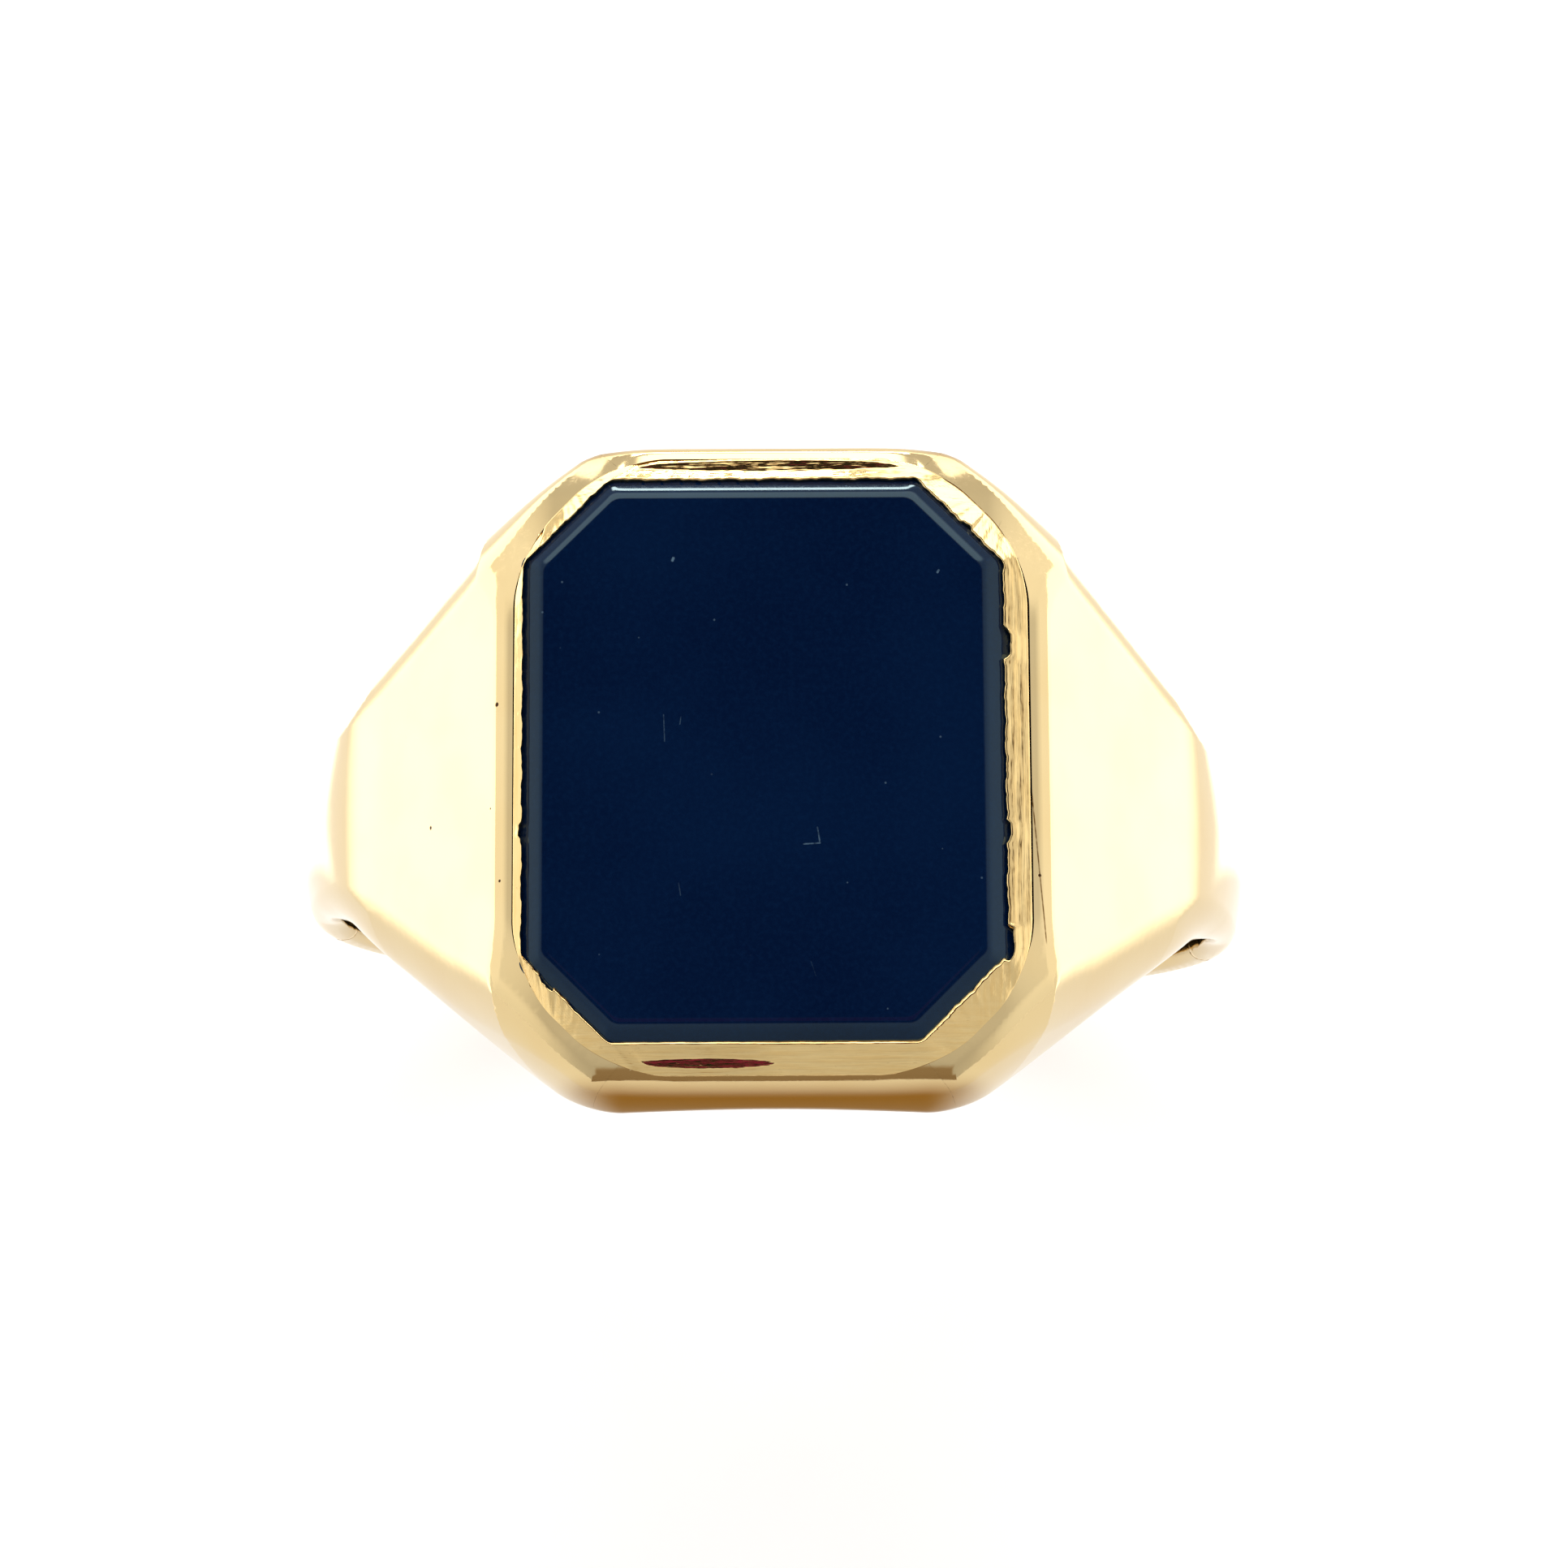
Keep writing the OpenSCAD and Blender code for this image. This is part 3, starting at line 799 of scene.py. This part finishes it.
def make_bezel():
    fineness = (110, 14)
    inner = outline(*OPENING_HALF, STONE_CORNER, OPENING_EDGE, OPENING_MID, *fineness)
    outer = outline(SEAT_X, SEAT_Y, BEZEL_CORNER, SEAT_EDGE, (SEAT_MID, 0), *fineness)
    outer = to_seat(outer)
    half_x, half_y = STONE_HALF[0] + SETTING_PLAY, STONE_HALF[1] + SETTING_PLAY
    wall = outline(half_x, half_y, STONE_CORNER, STONE_EDGE, (STONE_X, 0), *fineness)
    width = np.linalg.norm(outer - inner, axis=1)
    outward = (outer - inner) / width[:, None]
    run = np.cumsum(np.linalg.norm(inner - np.roll(inner, 1, axis=0), axis=1))
    back = np.zeros(len(run))
    calm = 0.15 + 0.85 * ramp(-5.5, -4.8, inner[:, 1])
    drift = 1.7 * np.sin(run / run[-1] * 6 * math.pi)
    for length, height in RAGGED:
        turns = round(run[-1] / length)
        back += calm * height * np.sin(run / run[-1] * turns * 2 * math.pi + drift)
    for px, py, reach, depth in NICKS:
        d = np.hypot(inner[:, 0] - px, inner[:, 1] - py)
        back += depth * (1 - ramp(reach * 0.75, reach, d))
    inner = inner + outward * np.clip(back, -0.02, 0.2)[:, None]

    rim = BEZEL_HIGH[2]
    x, y = inner.T
    rough_part = 1 - near_end(y)
    right, left = ramp(4.2, 4.6, x), ramp(4.7, 4.95, -x)
    crease = creased(y)
    height = np.minimum((0.33 + 0.3 * left) * width, 0.22)

    # Height of the lip from its outer edge (0) to the opening (1). It climbs evenly but for a
    # level strip along the far side and a short one along the near side.
    lens = ramp(5.0, 5.6, y) * np.sqrt(np.clip(1 - ((x + 0.15) / 2.95) ** 2, 0, 1))
    slit = ramp(5.4, 5.6, -y) * np.sqrt(np.clip(1 - ((x + 1.55) / 1.45) ** 2, 0, 1))
    across = np.linspace(0, 1, LIP_STEPS + 1)[:, None]
    far_strip = 1 - ramp(0.25 * lens - 0.03, 0.25 * lens + 0.02, np.abs(across - 0.34))
    near_strip = 1 - ramp(0.16 * slit - 0.03, 0.16 * slit + 0.03, np.abs(across - 0.36))
    strip = np.where(lens > 0.1, far_strip, 0) + np.where(slit > 0.1, near_strip, 0)
    climb = np.cumsum(1 - 0.97 * strip, axis=0)
    climb = (climb - climb[0]) / (climb[-1] - climb[0])

    def plate_top(path):
        return np.sqrt(np.maximum(PLATE_R**2 - path[:, 0] ** 2, 1)) + 0.005

    loops = [level(outer, plate_top(outer)), level(outer, rim - 0.5)]
    at_seat, at_stone = [0, 0.015, 0.035, 0.06], [0.91, 0.94, 0.965, 0.985, 1.0]
    for t in np.concatenate([at_seat, np.linspace(0.1, 0.88, 37), at_stone]):
        fade = math.sin(math.pi * min(max((t - 0.04) / 0.92, 0), 1)) ** 0.7
        bend = 0.22 * np.sin(0.9 * y + 0.4) + 0.1 * np.sin(2.3 * y)
        streak = np.sin(2 * math.pi * (2.6 * t + bend))
        wavy = np.sin(run * 1.9 + 5 * t) * np.sin(run * 0.7 + 1.1)
        drop = height * (1 - climb[round(t * LIP_STEPS)])
        drop = drop + (0.0022 * right * streak + 0.003 * wavy) * fade * rough_part
        drop = drop + 0.05 * max((t - 0.9) / 0.1, 0) ** 2
        drop = drop + 0.035 * max((0.06 - t) / 0.06, 0) ** 2 * crease
        loops.append(level(outer + (inner - outer) * t, rim - drop))
    # Back under the lip to the stone, and down the wall beside it.
    cover = np.linalg.norm(wall - inner, axis=1)
    contact = TABLE_Z - 0.44 + np.minimum(cover, 0.3) * 0.9
    loops.append(level(inner, contact + 0.05))
    loops.append(level(inner + (wall - inner) * 0.15, contact + 0.02))
    loops.append(level(wall, TABLE_Z - 0.42))
    loops.append(level(wall, plate_top(wall)))
    points, faces = skin_loops(loops, closed_tube=True)
    obj = add_mesh("bezel_lip", points, faces)
    obj.data.polygons.foreach_set("use_smooth", [True] * len(faces))
    obj.data.set_sharp_from_angle(angle=math.radians(42))
    obj.data.materials.append(bezel_gold)
    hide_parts("bezel")
    return obj


make_bezel()

# --- Floor, light and camera ----------------------------------------------------------------
FLOOR_SIZE = 1.6  # metres, as are all places on the floor
FLOOR_GREY = (0.85, 0.85, 0.85, 1)
WHITE = (1, 1, 1, 1)
AMBER = (1.0, 0.75, 0.5, 1)
DARK_RED = (0.24, 0.017, 0.09, 1)


def make_floor():
    """Pale floor with painted light: it glows more at the sides, in a painted pool of light close beside the
    ring where the gold would throw its bright reflection, and less in front as painted shade.
    """
    bpy.ops.mesh.primitive_plane_add(size=FLOOR_SIZE, location=(0, 0, CAD_LOW.z))
    floor = bpy.context.object
    floor.name = "floor"
    floor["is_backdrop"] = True
    mat, n = material("floor")
    x, y, _ = n.split(n.add("ShaderNodeTexCoord").outputs["Object"])
    x = n.math("ABSOLUTE", x)
    # Painted light: a brighter glow at the sides, and a painted pool of light beside the ring in place of
    # the gold's bright reflection on the floor.
    sides = n.product(n.step(x, 0.026, 0.036), n.step(y, -0.022, -0.010))
    painted_pool = n.product(n.step(x, 0.0195, 0.0225, 1.0, 0.0), n.step(x, 0.008, 0.011))
    painted_pool = n.product(painted_pool, n.step(y, 0.001, 0.0024), n.step(y, 0.012, 0.02, 1.0, 0.0))
    painted_glow = n.math("ADD", n.product(sides, 1.38), n.product(painted_pool, 1.4))
    # Painted shade: the floor glows less in front of the ring.
    painted_glow = n.math("ADD", n.step(y, -0.006, 0.004, 0.19, 0.30), painted_glow)
    shader = n.add("ShaderNodeBsdfPrincipled", Roughness=0.9)
    shader.inputs["Base Color"].default_value = FLOOR_GREY
    shader.inputs["Emission Color"].default_value = WHITE
    shader.inputs["Specular IOR Level"].default_value = 0.0
    n.feed(shader.inputs["Emission Strength"], painted_glow)
    n.add("ShaderNodeOutputMaterial", Surface=shader)
    floor.data.materials.append(mat)


def make_surroundings():
    """Soft studio light by direction: x to the right, y away from the camera and z up."""
    world = bpy.data.worlds.new("studio")
    bpy.context.scene.world = world
    world.use_nodes = True
    n = Nodes(world.node_tree)
    x, y, z = n.split(n.add("ShaderNodeTexCoord").outputs["Generated"])

    def less(light, mask, amount):
        return n.product(light, n.math("SUBTRACT", 1.0, n.product(mask, amount)))

    def more(light, mask, amount):
        return n.math("ADD", light, n.product(mask, amount))

    # Brighter to the sides, with a bright window high up beyond the ring.
    light = n.step(n.math("ABSOLUTE", x), 0.55, 0.85, 0.85, 1.4)
    window = n.step(n.ellipse(x, y, 0.64, 0.58, 0.27), 0.82, 1.08, 1.0, 0.0)
    light = more(light, n.product(window, n.step(z, 0.34, 0.46)), 2.6)
    light = n.product(light, n.step(y, -0.9, -0.1, 0.75, 1.0))
    # Less light low in front, and a dark patch overhead that the stone's table reflects.
    dim = n.product(n.step(y, -0.6, -0.35, 1.0, 0.0), n.step(z, 0.45, 0.65, 1.0, 0.0))
    dim = n.product(dim, n.within(x, 0.3, 0.5))
    light = less(light, dim, 0.4)
    patch = n.step(n.ellipse(x, y, 0.12, 0.50, 0.32), 0.8, 1.15, 1.0, 0.0)
    patch = n.product(patch, n.step(z, 0.2, 0.4))
    light = less(light, patch, 0.97)
    # A narrow strong light beyond the ring, seen in the stone's far bevel.
    bar = n.product(n.within(n.math("SUBTRACT", z, 0.19), 0.03, 0.042), n.within(x, 0.25, 0.35))
    light = more(light, n.product(bar, n.step(y, 0.0, 0.1)), 24.0)
    # A small dark red thing overhead, seen in the level strip of the near lip and faintly in
    # the near edge of the stone's table.
    red = n.product(n.step(y, -0.06, -0.04), n.step(y, 0.095, 0.11, 1.0, 0.0))
    red = n.product(n.within(x, 0.10, 0.14), red, n.step(z, 0.8, 0.9))
    tone = n.mix(n.math("MAXIMUM", patch, dim), WHITE, AMBER)
    tone = n.mix(red, tone, DARK_RED)
    light = n.math("MAXIMUM", light, red)
    background = n.add("ShaderNodeBackground", Color=tone, Strength=light)
    n.add("ShaderNodeOutputWorld", Surface=background)


make_floor()
make_surroundings()

scene = bpy.context.scene
scene.view_settings.view_transform = "Standard"
scene.view_settings.look = "None"
scene.view_settings.exposure = 0.0
scene.view_settings.gamma = 1.0


def place_camera(eye, aim, roll, lens):
    """Camera at eye, looking at aim, both in millimetres, rolled by some degrees."""
    camera = bpy.data.cameras.new("camera")
    obj = bpy.data.objects.new("camera", camera)
    scene.collection.objects.link(obj)
    camera.lens = lens
    camera.sensor_width = 36
    camera.clip_start = 0.001
    camera.clip_end = 10
    eye, aim = Vector(eye) * MM, Vector(aim) * MM
    forward = (aim - eye).normalized()
    right = forward.cross(Vector((0, 1, 0))).normalized()
    up = right.cross(forward)
    turn = Matrix.Rotation(math.radians(-roll), 4, "Z")
    axes = Matrix((right, up, -forward)).transposed().to_4x4()
    obj.matrix_world = Matrix.Translation(eye) @ axes @ turn
    scene.camera = obj


place_camera((0, -17.07, 102.9), (0.23, -0.49, 12.9), 0.3, 104.1)

low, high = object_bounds()
